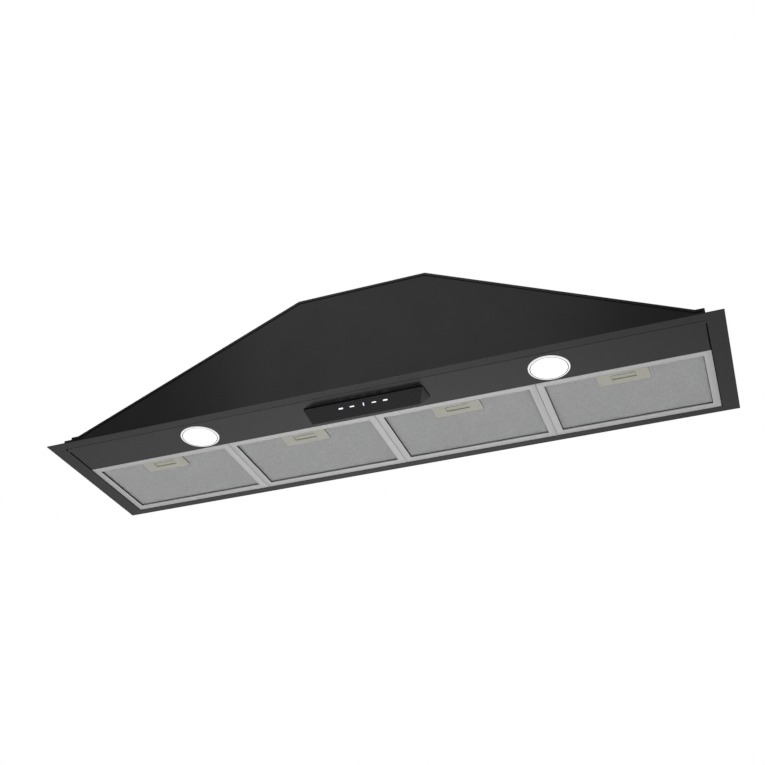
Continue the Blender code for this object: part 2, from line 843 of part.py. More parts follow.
def blower_wheel():
    """Curved blades between two end rings and a centre disc, with a hub for the shaft."""
    axis = lying(FAN_Y, FAN_Z)
    bore = SHAFT_R + GAP
    disc = [
        (bore, -9),
        (11, -9),
        (13, -WHEEL_DISC),
        (WHEEL_R - 1, -WHEEL_DISC),
        (WHEEL_R - 1, WHEEL_DISC),
        (bore, WHEEL_DISC),
    ]
    rings = []
    for low, high in ((-WHEEL_X, WHEEL_RING - WHEEL_X), (WHEEL_X - WHEEL_RING, WHEEL_X)):
        ring = [(WHEEL_INNER_R, low), (WHEEL_R, low), (WHEEL_R, high), (WHEEL_INNER_R, high)]
        rings.append(turned(ring, 48, axis))
    wheel = joined(turned(disc, 48, axis), blades(axis), *rings)
    part("blower_wheel", wheel, fan_plastic(), (0, FAN_Y, FAN_Z))


def blades(axis):
    """The wheel's leaning blades, each from one end ring to the other."""
    row = bmesh.new()
    middle = Matrix.Translation(((WHEEL_R + WHEEL_INNER_R) / 2, 0, 0))
    length = WHEEL_R - WHEEL_INNER_R - 1.2
    size = Matrix.Diagonal((length, BLADE_THICK, 2 * WHEEL_X - WHEEL_RING, 1))
    for index in range(BLADE_COUNT):
        turn = Matrix.Rotation(2 * math.pi * (index + 0.3) / BLADE_COUNT, 4, "Z")
        place = axis @ turn @ middle @ Matrix.Rotation(BLADE_LEAN, 4, "Z")
        bmesh.ops.create_cube(row, size=1, matrix=place @ size)
    return row


def blower_drive():
    axis = lying(FAN_Y, FAN_Z)
    shaft = cylinder(SHAFT_R, -10, 30, axis, 16)
    part("motor_shaft", shaft, bright_steel(), (0, FAN_Y, FAN_Z), smooth=True)
    bore = SHAFT_R + GAP
    end = SCROLL_X + SHEET + 2 * GAP + 0.9
    shoulder = MOTOR_START + 4
    can = [
        (bore, MOTOR_START),
        (16, MOTOR_START),
        (16, shoulder),
        (MOTOR_R - 4, shoulder),
        (MOTOR_R, shoulder + 4),
        (MOTOR_R, end - 6),
        (MOTOR_R - 4, end),
        (0, end),
        (0, 32),
        (bore, 32),
    ]
    part("blower_motor", turned(can, 32, axis), bright_steel(), smooth=True)
    motor_bracket(axis, end + GAP)
    blower_flange()


def motor_bracket(axis, low):
    """A hub on the motor's end, with three arms to the inlet ring."""
    hub = cylinder(18, low, low + 3, axis, 24)
    arms = [
        slab(
            [(8, -5), (ARM_REACH, -5), (ARM_REACH, 5), (8, 5)],
            low + 0.5,
            low + 2.5,
            axis @ Matrix.Rotation(math.radians(angle), 4, "Z"),
        )
        for angle in ARM_ANGLES
    ]
    part("motor_bracket", joined(hub, *arms), galvanised())


def blower_flange():
    """The plate between the scroll's outlet and the top panel."""
    front, rear = scroll_path()[0][0], scroll_path()[-1][0]
    low, high = SCROLL_TOP + GAP, ROOF_TOP - SHEET - GAP
    plate = box(
        (-BLOWER_FLANGE_X, BLOWER_FLANGE_X),
        (front - BLOWER_FLANGE_RIM, rear + BLOWER_FLANGE_RIM),
        (low, high),
    )
    outlet = box((-SCROLL_X, SCROLL_X), (front, rear), (low - 5, high + 5))
    holes = [drilled(SCREW_HOLE_R, x, y, low - 5, high + 5) for x, y in SCREW_CENTRES]
    part("blower_flange", cut(plate, outlet, *holes), galvanised())


def blower_screws():
    profile = [
        (0, ROOF_TOP - 8),
        (2, ROOF_TOP - 8),
        (2, ROOF_TOP + GAP),
        (4, ROOF_TOP + GAP),
        (4, ROOF_TOP + 1.6),
        (2.8, ROOF_TOP + 2.6),
        (0, ROOF_TOP + 2.6),
    ]
    for number, (x, y) in enumerate(SCREW_CENTRES, start=1):
        screw = turned(profile, 12, upright(x, y))
        part(f"blower_screw_{number}", screw, bright_steel(), (x, y, 0), smooth=True)


# ---------------------------------------------------------------- duct collar


def duct_collar():
    base = ROOF_TOP + GAP
    bead = PIN_Z - 3.4
    inner = DUCT_R - SHEET
    profile = [
        (inner, base),
        (COLLAR_BASE_R, base),
        (COLLAR_BASE_R, base + SHEET),
        (DUCT_R, base + SHEET),
        (DUCT_R, base + COLLAR_HEIGHT),
        (inner, base + COLLAR_HEIGHT),
        (inner, bead + SHEET),
        (inner - BEAD_DEPTH, bead + SHEET),
        (inner - BEAD_DEPTH, bead),
        (inner, bead),
    ]
    collar = turned(profile, 48, upright(0, DUCT_Y))
    pin_hole = cylinder(PIN_R + GAP, -100, 100, lying(DUCT_Y, PIN_Z), 12)
    part("duct_collar", cut(collar, pin_hole), galvanised(), smooth=True)
    pin = cylinder(PIN_R, -DUCT_R - 1.5, DUCT_R + 1.5, lying(DUCT_Y, PIN_Z), 12)
    part("damper_pin", pin, bright_steel(), smooth=True)


def damper_flap(name, side, barrel):
    """A half disc that hangs on the pin and lifts towards the sky. side is -1 for the front one."""
    first = math.asin(FLAP_START / FLAP_R)
    arc = []
    for step in range(FLAP_STEPS + 1):
        angle = first + (math.pi - 2 * first) * step / FLAP_STEPS
        arc.append((FLAP_R * math.cos(angle), DUCT_Y + side * FLAP_R * math.sin(angle)))
    height = (PIN_Z - FLAP_THICK / 2, PIN_Z + FLAP_THICK / 2)
    plate = slab(arc, *height)
    neck = box(barrel, sorted((DUCT_Y + side * 2.3, DUCT_Y + side * (FLAP_START + 0.9))), height)
    bore, (low, high) = PIN_R + GAP, barrel
    tube = [(bore, low), (BARREL_R, low), (BARREL_R, high), (bore, high)]
    shape = joined(plate, neck, turned(tube, 12, lying(DUCT_Y, PIN_Z)))
    part(name, shape, galvanised(), (0, DUCT_Y, PIN_Z))


# ---------------------------------------------------------------- electrics


def power_box():
    """A box on the rear plate, open to the front, with a knockout for the cables and a lid."""
    wall = 1.2
    x, z = POWER_BOX_X, POWER_BOX_Z
    y = (INSIDE_REAR - POWER_BOX_DEPTH, INSIDE_REAR)
    shell = cut(
        box(x, y, z),
        box((x[0] + wall, x[1] - wall), (y[0] - 1, y[1] - wall), (z[0] + wall, z[1] - wall)),
        drilled(8, x[1] - 20, sum(y) / 2, z[0] - 5, z[0] + 5, 16),
    )
    part("power_box", shell, galvanised())
    lid = box((x[0] - 1, x[1] + 1), (y[0] - GAP - wall, y[0] - GAP), (z[0] - 1, z[1] + 1))
    part("power_box_cover", lid, galvanised())


def led_driver():
    brick = box(LED_DRIVER_X, (INSIDE_REAR - LED_DRIVER_DEPTH, INSIDE_REAR), LED_DRIVER_Z)
    part("led_driver", brick, black_plastic())


def motor_capacitor():
    low, high = CAPACITOR_Z
    edge = 2.0
    can = [
        (0, low),
        (CAPACITOR_R - edge, low),
        (CAPACITOR_R, low + edge),
        (CAPACITOR_R, high - edge),
        (CAPACITOR_R - edge, high),
        (0, high),
    ]
    shape = turned(can, 24, upright(CAPACITOR_X, INSIDE_REAR - CAPACITOR_R - 0.2))
    part("motor_capacitor", shape, lamp_white(), smooth=True)


def cable_gland():
    """A gland through the top panel, with its bore open for the mains cable, and its lock nut."""
    x, y = GLAND_CENTRE
    top = ROOF_TOP + GAP
    profile = [
        (GLAND_BORE_R, ROOF_TOP - 9),
        (GLAND_THREAD_R, ROOF_TOP - 9),
        (GLAND_THREAD_R, top),
        (GLAND_THREAD_R + 3, top),
        (GLAND_THREAD_R + 3, top + 6),
        (GLAND_THREAD_R + 1, top + 6),
        (GLAND_THREAD_R + 1, top + 12),
        (GLAND_BORE_R + 2, top + 17),
        (GLAND_BORE_R, top + 17),
    ]
    part("cable_gland", turned(profile, 24, upright(x, y)), black_plastic(), (x, y, 0), smooth=True)
    high = ROOF_TOP - SHEET - GAP
    low = high - 5
    nut = cut(
        cylinder(12.5, low, high, upright(x, y), 6),
        drilled(GLAND_THREAD_R + GAP, x, y, low - 1, high + 1, 16),
    )
    part("gland_nut", nut, black_plastic(), (x, y, 0))


def main():
    clear_scene()
    flange_frame()
    part("left_side_panel", left_side_shape(), black_paint())
    part("right_side_panel", mirrored(left_side_shape()), black_paint())
    top_panel()
    front_panel()
    rear_panel()
    side_bracket("left_side_bracket", -1, LEFT_BRACKET_Y)
    side_bracket("right_side_bracket", 1, RIGHT_BRACKET_Y)
    light_panel()
    lamp("left", -LAMP_X)
    lamp("right", LAMP_X)
    control_housing()
    control_insides()
    filters()
    filter_rear_rail()
    blower_housing()
    blower_wheel()
    blower_drive()
    blower_screws()
    duct_collar()
    damper_flap("front_damper_flap", -1, (-60, -20))
    damper_flap("rear_damper_flap", 1, (20, 60))
    power_box()
    led_driver()
    motor_capacitor()
    cable_gland()


main()
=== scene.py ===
"""The looks of an insert range hood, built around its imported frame.

The frame holds every part at its real size. This script gives each part its finish, replaces
the plain solids that show with detailed pieces in the same places, and sets the studio.
Pieces are measured in millimetres, and the camera and the studio in metres. +X is the hood's
right, +Y points to the wall and +Z points up.
"""

import json
import math

import bmesh
import bpy
import numpy
from mathutils import Matrix, Vector, noise


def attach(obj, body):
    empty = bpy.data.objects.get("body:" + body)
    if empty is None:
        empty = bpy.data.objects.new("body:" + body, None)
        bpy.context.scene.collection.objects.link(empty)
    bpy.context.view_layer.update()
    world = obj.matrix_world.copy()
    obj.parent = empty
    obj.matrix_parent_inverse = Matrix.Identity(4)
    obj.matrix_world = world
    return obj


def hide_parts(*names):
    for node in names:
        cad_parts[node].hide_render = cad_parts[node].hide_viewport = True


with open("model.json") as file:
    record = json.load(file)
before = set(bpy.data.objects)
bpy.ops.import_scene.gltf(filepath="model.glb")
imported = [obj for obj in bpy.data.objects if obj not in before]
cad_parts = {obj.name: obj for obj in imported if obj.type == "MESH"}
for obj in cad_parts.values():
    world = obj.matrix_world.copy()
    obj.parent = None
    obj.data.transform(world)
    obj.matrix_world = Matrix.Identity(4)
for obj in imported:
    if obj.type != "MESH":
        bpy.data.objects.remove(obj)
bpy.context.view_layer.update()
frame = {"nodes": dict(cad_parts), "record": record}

MM = 0.001
SHARP_ANGLE = math.radians(32)  # edges steeper than this are shaded sharp
UNMOVED = Matrix.Identity(4)
ROUND_OFF = 1e-4

# The CAD nodes whose sharp edges are rounded, and by how much
BLACK_SHEETS = (
    "flange_frame",
    "left_side_panel",
    "right_side_panel",
    "top_panel",
    "front_panel",
    "rear_panel",
    "left_side_bracket",
    "right_side_bracket",
    "light_panel",
)
SHEET_EDGE = 0.3
LATCH_EDGE = 0.35
EDGE_ANGLE = math.radians(30)
WELD_REACH = 0.002

# Where the CAD's pieces lie, in millimetres of the shared frame
UNDERSIDE = -1.2
FRONT = -150.0
PANEL_FACE = UNDERSIDE - 0.3  # what hangs under the light panel starts here

# Grease filters, each around the middle of its rear lower edge
FILTER_COUNT = 4
FILTER_PITCH = 288.7
FILTER_HINGE_Y = 132.3
FILTER_WIDTH = 288.3
FILTER_DEPTH = 178.6
FILTER_HEIGHT = 10.0

# The rims: hemmed channels round a filter
RIM = 12.9
RIM_REAR = 14.2
HEM = 2.5
WALL = 1.2
OUTER_BEND = 0.4
HEM_BEND = 0.3
TOP_BEND = 0.5
MITRE_GAP = 0.03
GROOVE = 2.6  # the fold line of the side rims, from their outer edge
GROOVE_HALF = 0.3
GROOVE_DEEP = 0.35
SHADE_STRIP_WIDE = 0.8  # painted shade: the near-black strip round the window
SHADE_STRIP_THICK = 0.3
SHADE_STRIP_LAP = 0.1
TAB_HALF = 15.0
TAB_Y = (-0.6, 4.8)
TAB_Z = (1.5, 2.5)
TAB_CORNER = 2.0
SLOT_HALF = 15.4
SLOT = (3.6, 6.8)

# The mesh: zigzag strands under a crumpled pad, both notched for the latch case
NOTCH_X = 42.9
NOTCH_Y = -132.0
NOTCH_GAP = 0.3
UNDER_RIM = 1.5  # how far the strands reach under the rims
STRAND_Z = 2.75
STRAND_ROW = 1.5
STRAND_LINK = 2.5
STRAND_SIZE = 0.85
STRAND_TALL = 0.8
STRAND_TILT = 0.15
STRAND_TOUCH = 0.1  # how far neighbouring strands lap at their bends, and step up and down
STRAND_WAVE = 0.12
STRAND_WAVE_RATE = 0.35
PAD_GAP = 0.3
PAD_LOW = 4.0
PAD_TOP = 8.4
PAD_RELIEF = 0.45
PAD_RELIEF_RATE = 0.45
PAD_RELIEF_SEED = 7.0
PAD_COLUMNS = (40, 34)  # cells beside the notch, and across it
PAD_ROWS = (18, 52)  # cells in front of the notch's end, and behind it

# Lamps
LAMP_X = 322.0
LAMP_Y = FRONT + 62.0
BEZEL_R = 34.75
BEZEL_THICK = 2.1
BEZEL_INNER_ROUND = 0.3
BEZEL_OUTER_ROUND = 1.4
BEZEL_WIDE_LIP = 1.6  # the bezel's face starts this far outside the lens opening
BEZEL_SEAT = 1.3  # and its seat this far inside
LENS_R = 30.6
LENS_SEAT = 0.7
LENS_FIT = 0.3
DOME_HIGH = 1.6
DOME_FALL = 0.6
DOME_SHARES = (0.25, 0.5, 0.7, 0.85, 0.95, 1.0)
SHADE_RING = (-0.8, 1.3)  # the grey ring painted as the shade in the gap round the lens, from the dome's edge
SHADE_RING_THICK = 1.1
LAMP_SEGMENTS = 128

# Control pod: corners of its right end, and the row of keys on its face
POD_FRONT = Vector((110.0, FRONT + 42.0, PANEL_FACE))
POD_RIDGE = Vector((98.0, FRONT + 62.0, UNDERSIDE - 25.0))
POD_REAR = Vector((113.0, FRONT + 80.0, PANEL_FACE))
POD_RECESS = 0.7
POD_LAP = 0.5
POD_EDGE_R = 2.0
POD_NOSE_R = 2.6
POD_BASE_INSET = (2.4, 1.6)
POD_BASE_CORNER = 2.0
GLASS_MARGIN = 1.5
GLASS_CORNERS = (1.0, 2.0)
GLASS_PROUD = 0.08
GLASS_SUNK = 1.0
MARK_PROUD = 0.06
MARK_SUNK = 0.1
MARK_CORNER = 0.6  # a share of half the mark's lesser side
KEY_V = 11.5
KEY_XS = (-41.0, -20.4, 20.0, 40.5)
KEY_SIZES = ((8.0, 2.3), (8.0, 1.8), (8.0, 1.7), (8.0, 2.2))
DIGIT_X = 0.8
DIGIT_SIZE = (2.0, 5.4)

# Sealing tape over the slit at each end of the flange's front ledge
SEAL_X = (574.0, 583.0)
SEAL_Y = (FRONT + 17.5, FRONT + 29.7)
SEAL_Z = (0.85, 1.2)
SEAL_CORNER = 1.0

# Camera: below the hood's front and to its right
CAMERA_PLACE = (0.5590, -1.5296, -0.9844)
CAMERA_YAW = math.radians(20.12)
CAMERA_PITCH = math.radians(33.59)
CAMERA_LENS = 49.85
CAMERA_SENSOR = 36.0

# Studio
FLOOR_Z = -2.1
FLOOR_HALF = 9.0
FLOOR_CELLS = 12
ROOM_LIGHT = 0.32
# Each light: name, place, what it faces, width, height and power
LIGHTS = (
    ("front_light", (-0.6, -2.2, 1.6), (0, 0, 0.1), 1.6, 1.2, 5.5),
    ("floor_light", (-1.0, 2.9, 0.1), (-1.0, 2.9, FLOOR_Z), 1.4, 1.4, 52.0),
    ("floor_wash", (0, 0, -1.6), (0, 0, FLOOR_Z), 17.0, 17.0, 200.0),
    ("end_light", (2.1, 1.9, -0.2), (0.1, 0, 0), 1.0, 1.0, 3.0),
)


# ---------------------------------------------------------------- materials

NOISE_ROUGHNESS = 0.55


class Finish:
    """A Principled material and short ways to add nodes to it."""

    def __init__(self, name, colour, roughness, metallic=0.0, **sockets):
        self.material = bpy.data.materials.new(name)
        self.material.use_nodes = True
        self.material.diffuse_color = (*colour, 1.0)
        self.nodes = self.material.node_tree.nodes
        self.links = self.material.node_tree.links
        self.shader = self.nodes["Principled BSDF"]
        self.colour = colour
        self.roughness = roughness
        self.place = None
        self.shader.inputs["Base Color"].default_value = (*colour, 1.0)
        self.shader.inputs["Roughness"].default_value = roughness
        self.shader.inputs["Metallic"].default_value = metallic
        for socket, value in sockets.items():
            self.shader.inputs[socket.replace("_", " ")].default_value = value

    def node(self, kind, **settings):
        made = self.nodes.new(kind)
        for key, value in settings.items():
            setattr(made, key, value)
        return made

    def feed(self, node, socket, value):
        """Give an input a number, or link an output to it."""
        if isinstance(value, bpy.types.NodeSocket):
            self.links.new(value, node.inputs[socket])
        else:
            node.inputs[socket].default_value = value

    def stretched(self, scale):
        """The piece's own coordinates, scaled along each axis."""
        if self.place is None:
            self.place = self.node("ShaderNodeTexCoord").outputs["Object"]
        mapping = self.node("ShaderNodeMapping")
        self.feed(mapping, "Vector", self.place)
        self.feed(mapping, "Scale", scale)
        return mapping.outputs["Vector"]

    def noise(self, scale, detail=3.0, distortion=0.0):
        texture = self.node("ShaderNodeTexNoise")
        self.feed(texture, "Vector", self.stretched(scale))
        self.feed(texture, "Scale", 1.0)
        self.feed(texture, "Detail", detail)
        self.feed(texture, "Roughness", NOISE_ROUGHNESS)
        self.feed(texture, "Distortion", distortion)
        return texture.outputs["Fac"]

    def cells(self, scale, output="Distance"):
        texture = self.node("ShaderNodeTexVoronoi")
        self.feed(texture, "Vector", self.stretched(scale))
        self.feed(texture, "Scale", 1.0)
        return texture.outputs[output]

    def between(self, value, low, high, from_low=0.3, from_high=0.7):
        """A texture's value carried to the span from low to high."""
        span = self.node("ShaderNodeMapRange")
        self.feed(span, "Value", value)
        self.feed(span, "From Min", from_low)
        self.feed(span, "From Max", from_high)
        self.feed(span, "To Min", low)
        self.feed(span, "To Max", high)
        return span.outputs["Result"]

    def math(self, operation, first, second):
        made = self.node("ShaderNodeMath", operation=operation)
        self.feed(made, 0, first)
        self.feed(made, 1, second)
        return made.outputs["Value"]

    def weighed(self, first, first_share, second, second_share):
        """The sum of two textures, each by its share."""
        terms = [self.math("MULTIPLY", first, first_share), self.math("MULTIPLY", second, second_share)]
        return self.math("ADD", *terms)

    def blend(self, factor, dark, light):
        mix = self.node("ShaderNodeMix", data_type="RGBA")
        self.feed(mix, 0, factor)
        self.feed(mix, 6, (*dark, 1.0))
        self.feed(mix, 7, (*light, 1.0))
        return mix.outputs[2]

    def mottle(self, factor, spread):
        """Colour that varies by a share of itself, as the factor runs from 0 to 1."""
        dark = [c * (1 - spread) for c in self.colour]
        light = [min(1.0, c * (1 + spread)) for c in self.colour]
        self.feed(self.shader, "Base Color", self.blend(factor, dark, light))

    def gloss(self, factor, spread):
        """Roughness that varies by a share of itself."""
        low, high = self.roughness * (1 - spread), self.roughness * (1 + spread)
        self.feed(self.shader, "Roughness", self.between(factor, low, high))

    def relief(self, height, depth, strength=1.0):
        bump = self.node("ShaderNodeBump")
        self.feed(bump, "Height", height)
        self.feed(bump, "Distance", depth)
        self.feed(bump, "Strength", strength)
        self.links.new(bump.outputs["Normal"], self.shader.inputs["Normal"])


def even(scale):
    return (scale, scale, scale)


def black_paint(name="black_paint", roughness=0.27):
    """Satin powder coat: faint orange peel and a slow drift in gloss."""
    finish = Finish(name, (0.0052, 0.0052, 0.0053), roughness, IOR=1.38)
    peel = finish.noise(even(900.0), detail=2.0)
    drift = finish.noise(even(14.0), detail=4.0)
    finish.mottle(finish.between(drift, 0.0, 1.0), 0.10)
    finish.gloss(drift, 0.10)
    finish.relief(peel, 0.02 * MM, 0.35)
    return finish.material


def black_plastic():
    """Fine moulded grain."""
    finish = Finish("black_plastic", (0.0185, 0.0185, 0.0188), 0.40)
    grain = finish.cells(even(1500.0))
    drift = finish.noise(even(30.0))
    finish.mottle(finish.between(drift, 0.0, 1.0), 0.12)
    finish.gloss(drift, 0.12)
    finish.relief(grain, 0.02 * MM, 0.4)
    return finish.material


def black_glass():
    """Gloss face with the faint smears of wiping."""
    finish = Finish("black_glass", (0.0185, 0.0185, 0.0189), 0.30)
    smear = finish.noise((25.0, 90.0, 90.0), detail=5.0, distortion=1.2)
    finish.mottle(finish.between(smear, 0.0, 1.0), 0.08)
    finish.gloss(smear, 0.25)
    return finish.material


def brushed(name, along, tone, roughness):
    """Grey metal brushed along X or along Y."""
    finish = Finish(name, (tone, tone, tone), roughness, 0.85)
    fine = {"x": (60.0, 4200.0, 4200.0), "y": (4200.0, 60.0, 4200.0)}[along]
    broad = {"x": (9.0, 260.0, 260.0), "y": (260.0, 9.0, 260.0)}[along]
    scratch = finish.noise(fine, detail=2.0)
    streak = finish.noise(broad, detail=4.0)
    both = finish.weighed(scratch, 0.6, streak, 0.4)
    finish.mottle(finish.between(both, 0.0, 1.0), 0.10)
    finish.gloss(streak, 0.15)
    finish.relief(scratch, 0.01 * MM, 0.4)
    return finish.material


def filter_mesh_metal():
    """Bare aluminium foil strands with painted glints: their colour is mottled as if each caught the
    light differently.
    """
    finish = Finish("filter_mesh", (0.87, 0.88, 0.88), 0.45, 0.4)
    painted_glint = finish.noise(even(520.0), detail=3.0)
    cloud = finish.noise(even(22.0), detail=3.0)
    both = finish.weighed(painted_glint, 0.92, cloud, 0.08)
    # the mottle paints glints into the colour
    finish.mottle(finish.between(both, 0.0, 1.0), 0.22)
    finish.gloss(painted_glint, 0.2)
    return finish.material


def filter_pad_metal():
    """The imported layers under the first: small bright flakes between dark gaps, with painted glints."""
    finish = Finish("filter_pad", (0.76, 0.77, 0.77), 0.5, 0.2)
    flake = finish.cells((620.0, 1100.0, 620.0))
    painted_glint = finish.noise(even(700.0), detail=2.0)
    both = finish.weighed(flake, 0.7, painted_glint, 0.5)
    # the glint noise paints glints into the colour
    finish.mottle(finish.between(both, 0.0, 1.0, 0.2, 0.9), 0.45)
    finish.relief(flake, 0.4 * MM, 0.5)
    return finish.material


def latch_metal():
    """Warm grey lacquer with a sparse fleck."""
    finish = Finish("latch_steel", (0.58, 0.575, 0.50), 0.45, 0.25)
    fleck = finish.noise(even(1600.0), detail=2.0)
    drift = finish.noise(even(60.0))
    finish.mottle(finish.between(fleck, 0.0, 1.0, 0.35, 0.65), 0.07)
    finish.gloss(drift, 0.12)
    finish.relief(fleck, 0.02 * MM, 0.3)
    return finish.material


def galvanised():
    """Zinc spangle: crystals a centimetre across, each with its own tone."""
    finish = Finish("galvanised", (0.42, 0.43, 0.44), 0.42, 0.85)
    split = finish.node("ShaderNodeSeparateColor")
    finish.feed(split, "Color", finish.cells(even(130.0), "Color"))
    frost = finish.noise(even(420.0), detail=3.0)
    tone = finish.weighed(split.outputs["Red"], 0.5, frost, 0.5)
    finish.mottle(finish.between(tone, 0.0, 1.0, 0.2, 0.8), 0.16)
    finish.gloss(split.outputs["Red"], 0.2)
    finish.relief(frost, 0.02 * MM, 0.3)
    return finish.material


def bright_steel():
    """Turned steel with fine circular marks read as grain."""
    finish = Finish("bright_steel", (0.56, 0.56, 0.57), 0.28, 1.0)
    mark = finish.noise((3000.0, 300.0, 300.0), detail=2.0)
    finish.mottle(finish.between(mark, 0.0, 1.0), 0.10)
    finish.gloss(mark, 0.25)
    finish.relief(mark, 0.01 * MM, 0.3)
    return finish.material


def lamp_white(name="lamp_white", tone=0.86):
    """Satin moulding, white for the lamps' bodies, and grey for the ring round the lens, which paints the
    shade in the gap between lens and bezel.
    """
    finish = Finish(name, (tone, tone, tone), 0.35)
    grain = finish.noise(even(1300.0), detail=2.0)
    finish.mottle(finish.between(grain, 0.0, 1.0), 0.03)
    finish.gloss(grain, 0.15)
    finish.relief(grain, 0.01 * MM, 0.3)
    return finish.material


def glowing(name, colour, strength, mottle_scale, spread):
    """A lit surface, a little uneven."""
    finish = Finish(name, colour, 0.35)
    uneven = finish.noise(even(mottle_scale), detail=2.0)
    dark = [c * (1 - spread) for c in colour]
    tone = finish.blend(finish.between(uneven, 0.0, 1.0), dark, colour)
    finish.feed(finish.shader, "Base Color", tone)
    finish.feed(finish.shader, "Emission Color", tone)
    finish.feed(finish.shader, "Emission Strength", strength)
    return finish.material


def fan_plastic():
    """Dark glass-filled nylon."""
    finish = Finish("fan_plastic", (0.035, 0.035, 0.038), 0.5)
    grain = finish.cells(even(1100.0))
    drift = finish.noise(even(45.0))
    finish.mottle(finish.between(drift, 0.0, 1.0), 0.15)
    finish.gloss(drift, 0.12)
    finish.relief(grain, 0.04 * MM, 0.5)
    return finish.material


def circuit_green():
    """Solder mask over copper tracks."""
    finish = Finish("circuit_green", (0.015, 0.085, 0.04), 0.4)
    track = finish.node("ShaderNodeTexBrick")
    finish.feed(track, "Vector", finish.stretched(even(240.0)))
    finish.feed(track, "Scale", 1.0)
    finish.feed(track, "Color1", (0.012, 0.075, 0.035, 1.0))
    finish.feed(track, "Color2", (0.016, 0.095, 0.045, 1.0))
    finish.feed(track, "Mortar", (0.03, 0.16, 0.07, 1.0))
    finish.links.new(track.outputs["Color"], finish.shader.inputs["Base Color"])
    finish.gloss(finish.noise(even(200.0)), 0.15)
    return finish.material


def studio_floor():
    """Pale matt paper."""
    finish = Finish("studio_floor", (0.80, 0.80, 0.80), 0.6)
    cloud = finish.noise(even(1.5), detail=3.0)
    finish.mottle(finish.between(cloud, 0.0, 1.0), 0.015)
    return finish.material


# ---------------------------------------------------------------- pieces


def rounded(corners, steps=4):
    """A closed outline of (u, v, radius) corners, each rounded to its radius."""
    outline = []
    for index, (u, v, radius) in enumerate(corners):
        point = Vector((u, v))
        if radius == 0:
            outline.append(point)
            continue
        before = (Vector(corners[index - 1][:2]) - point).normalized()
        after = (Vector(corners[(index + 1) % len(corners)][:2]) - point).normalized()
        half = before.angle(after) / 2
        centre = point + (before + after).normalized() * (radius / math.sin(half))
        spoke = point + before * (radius / math.tan(half)) - centre
        last = point + after * (radius / math.tan(half)) - centre
        first_angle = math.atan2(spoke.y, spoke.x)
        turn = (math.atan2(last.y, last.x) - first_angle + math.pi) % math.tau - math.pi
        for step in range(steps + 1):
            angle = first_angle + turn * step / steps
            outline.append(centre + radius * Vector((math.cos(angle), math.sin(angle))))
    return outline


def loft(shape, start, end, look=0):
    """A closed solid from one ring of points to another. Its faces along the loft are returned."""
    rings = [[shape.verts.new(point) for point in ring] for ring in (start, end)]
    ends = [shape.faces.new(ring) for ring in rings]
    sides = []
    for index in range(len(start)):
        after = (index + 1) % len(start)
        corners = (rings[0][index], rings[0][after], rings[1][after], rings[1][index])
        sides.append(shape.faces.new(corners))
    for face in ends + sides:
        face.material_index = look
    return sides


def plate(shape, outline, low, high, place):
    """An outline given thickness from low to high, at a place."""
    loft(shape, *[[place @ Vector((u, v, w)) for u, v in outline] for w in (low, high)])


def turn_about(shape, profile, segments, place):
    """A closed (radius, height) profile turned about a place's own Z axis."""
    rings = []
    for radius, height in profile:
        if radius == 0:
            rings.append([shape.verts.new(place @ Vector((0, 0, height)))] * segments)
            continue
        ring = []
        for index in range(segments):
            angle = math.tau * index / segments
            point = Vector((radius * math.cos(angle), radius * math.sin(angle), height))
            ring.append(shape.verts.new(place @ point))
        rings.append(ring)
    for ring, following in zip(rings, rings[1:] + rings[:1]):
        for index in range(segments):
            after = (index + 1) % segments
            corners = [ring[index], ring[after], following[after], following[index]]
            corners = list(dict.fromkeys(corners))
            if len(corners) > 2:
                shape.faces.new(corners)


def finished(name, shape, looks):
    """A mesh in metres from a shape in millimetres."""
    bmesh.ops.scale(shape, vec=(MM, MM, MM), verts=shape.verts)
    bmesh.ops.recalc_face_normals(shape, faces=shape.faces)
    mesh = bpy.data.meshes.new(name)
    shape.to_mesh(mesh)
    shape.free()
    for look in looks:
        mesh.materials.append(look)
    mesh.shade_smooth()
    mesh.set_sharp_from_angle(angle=SHARP_ANGLE)
    return mesh


def piece(name, mesh, body, stands_for=(), place=(0, 0, 0)):
    """A mesh shown at a place in millimetres, riding on a body."""
    made = bpy.data.objects.new(name, mesh)
    made.location = Vector(place) * MM
    bpy.context.scene.collection.objects.link(made)
    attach(made, body)
    if stands_for:
        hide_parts(*stands_for)


def soften(nodes, width):
    """Round the sharp edges of some CAD nodes."""
    for name in nodes:
        node = frame["nodes"][name]
        weld = node.modifiers.new("weld", "WELD")
        weld.merge_threshold = WELD_REACH * MM
        bevel = node.modifiers.new("soft_edges", "BEVEL")
        bevel.width = width * MM
        bevel.segments = 2
        bevel.limit_method = "ANGLE"
        bevel.angle_limit = EDGE_ANGLE
        bevel.harden_normals = True


def paint_cad_nodes(looks):
    """Every CAD node takes the finish of its slot in the record."""
    for row in frame["record"]["subparts"]:
        node = frame["nodes"][row["node"]]
        node.data.materials.clear()
        node.data.materials.append(looks[row["material_slot"]])


# ---------------------------------------------------------------- filters

# A filter's rims take three looks. The front and rear rims take the first, the side rims the second, and
# the third is a near-black painted shade.
SIDES = 1
PAINTED_SHADE = 2


def rim_corner(index, inset):
    """One of the frame's four corners, moved in from the outer edge. They run round from front left."""
    x = FILTER_WIDTH / 2 - inset
    front, rear = inset - FILTER_DEPTH, -inset * RIM_REAR / RIM
    return [(-x, front), (x, front), (x, rear), (-x, rear)][index]


def rim_ring(profile, index, along):
    """The rim's section at a corner, a mitre gap along one axis."""
    ring = []
    for inset, height in profile:
        x, y = rim_corner(index, inset)
        ring.append((x + along[0] * MITRE_GAP, y + along[1] * MITRE_GAP, height))
    return ring


def at_x(profile, x):
    """The front rim's section at some x."""
    return [(x, inset - FILTER_DEPTH, height) for inset, height in profile]


